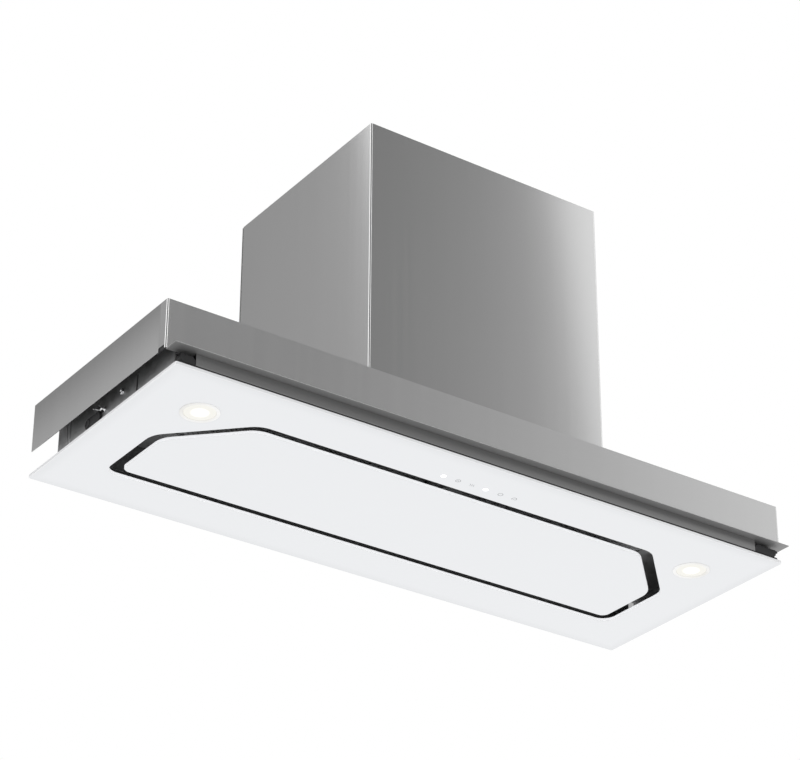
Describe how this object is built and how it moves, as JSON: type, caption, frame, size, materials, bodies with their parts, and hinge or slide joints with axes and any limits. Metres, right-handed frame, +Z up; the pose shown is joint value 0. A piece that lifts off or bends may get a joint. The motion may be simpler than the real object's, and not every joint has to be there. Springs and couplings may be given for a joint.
{
  "type": "island range hood",
  "caption": "Ceiling-hung island range hood with a tall steel casing, a flat wide canopy, and a glass underside with a suction slot round a hinged centre panel.",
  "frame": {"origin": "centre of the ceiling plate's upper face, which meets the ceiling; the hood hangs below it", "axes": "+Z up out of the ceiling face, +X along the canopy to the right as seen from the front, -Y to the front (the side with the lip and the touch keys)"},
  "size_m": [1.2, 0.463, 0.5795],
  "materials": {
    "brushed_steel": "fine vertical brushing, satin",
    "zinc_steel": "galvanised, faint spangle",
    "dark_steel": "dark grey powder coat",
    "black_plastic": "fine moulded grain",
    "black_rubber": "matt foam tape",
    "white_glass": "back-painted white, polished edge",
    "lamp_ring": "satin, warm white",
    "lamp_lens": "frosted diffuser, lit",
    "aluminium": "bare, satin",
    "circuit_board": "green lacquer",
    "grey_plastic": "moulded, matt",
    "motor_enamel": "black enamel"
  },
  "bodies": {
    "hood": {"ceiling_plate": "zinc_steel", "corner_post_front_left": "zinc_steel", "corner_post_front_right": "zinc_steel", "corner_post_back_left": "zinc_steel", "corner_post_back_right": "zinc_steel", "casing_wrap": "brushed_steel", "casing_back_panel": "brushed_steel", "canopy_front_panel": "brushed_steel", "canopy_back_panel": "brushed_steel", "canopy_left_panel": "brushed_steel", "canopy_right_panel": "brushed_steel", "canopy_top_plate": "brushed_steel", "corner_block_left": "black_plastic", "corner_block_right": "black_plastic", "front_lip": "brushed_steel", "body_left_wall": "dark_steel", "body_right_wall": "dark_steel", "body_front_wall": "dark_steel", "body_back_wall": "dark_steel", "filter_deck": "zinc_steel", "front_strip": "brushed_steel", "end_cap_left": "black_plastic", "end_cap_right": "black_plastic", "side_screw_left": "zinc_steel", "side_screw_right": "zinc_steel", "cable_box": "black_plastic", "glass_surround": "white_glass", "glass_seal": "black_rubber", "lamp_ring_left": "lamp_ring", "lamp_ring_right": "lamp_ring", "lamp_lens_left": "lamp_lens", "lamp_lens_right": "lamp_lens", "lamp_body_left": "aluminium", "lamp_body_right": "aluminium", "touch_key_board": "circuit_board", "hinge_bracket_left": "zinc_steel", "hinge_bracket_right": "zinc_steel", "magnet_catch": "zinc_steel", "filter_frame_left": "zinc_steel", "filter_frame_right": "zinc_steel", "filter_mesh_left": "aluminium", "filter_mesh_right": "aluminium", "scroll_band": "zinc_steel", "scroll_side_left": "zinc_steel", "scroll_side_right": "zinc_steel", "motor": "motor_enamel", "duct_collar": "grey_plastic", "flap_pin": "zinc_steel", "control_box": "grey_plastic", "control_box_lid": "grey_plastic", "cable_gland": "black_plastic"},
    "centre_panel": {"centre_glass": "white_glass", "panel_tray": "zinc_steel"},
    "left_latch": {"filter_latch_left": "black_plastic"},
    "right_latch": {"filter_latch_right": "black_plastic"},
    "left_wing_screw": {"wing_screw_left": "zinc_steel"},
    "right_wing_screw": {"wing_screw_right": "zinc_steel"},
    "blower_wheel": {"impeller": "grey_plastic"},
    "front_damper": {"front_flap": "grey_plastic"},
    "rear_damper": {"rear_flap": "grey_plastic"}
  },
  "joints": [
    {"name": "centre_panel_hinge", "type": "hinge", "parent": "hood", "child": "centre_panel", "pos_m": [0, 0.105, -0.5634], "axis": [1, 0, 0], "range_deg": [0, 85]},
    {"name": "left_latch_slide", "type": "slide", "parent": "hood", "child": "left_latch", "axis": [0, 1, 0], "range_m": [0, 0.006], "stiffness_N_per_m": 300},
    {"name": "right_latch_slide", "type": "slide", "parent": "hood", "child": "right_latch", "axis": [0, 1, 0], "range_m": [0, 0.006], "stiffness_N_per_m": 300},
    {"name": "left_wing_screw_turn", "type": "hinge", "parent": "hood", "child": "left_wing_screw", "pos_m": [-0.59, 0.004, -0.552], "axis": [1, 0, 0], "continuous": true},
    {"name": "right_wing_screw_turn", "type": "hinge", "parent": "hood", "child": "right_wing_screw", "pos_m": [0.59, 0.004, -0.552], "axis": [1, 0, 0], "continuous": true},
    {"name": "blower_wheel_spin", "type": "hinge", "parent": "hood", "child": "blower_wheel", "pos_m": [0, -0.0234, -0.236], "axis": [1, 0, 0], "continuous": true},
    {"name": "front_damper_swing", "type": "hinge", "parent": "hood", "child": "front_damper", "pos_m": [0, 0.1108, -0.048], "axis": [1, 0, 0], "range_deg": [-75, 0]},
    {"name": "rear_damper_swing", "type": "hinge", "parent": "hood", "child": "rear_damper", "pos_m": [0, 0.1108, -0.048], "axis": [1, 0, 0], "range_deg": [0, 75]}
  ],
  "couplings": [
    {"joint": "rear_damper_swing", "follows": "front_damper_swing", "ratio": -1}
  ]
}
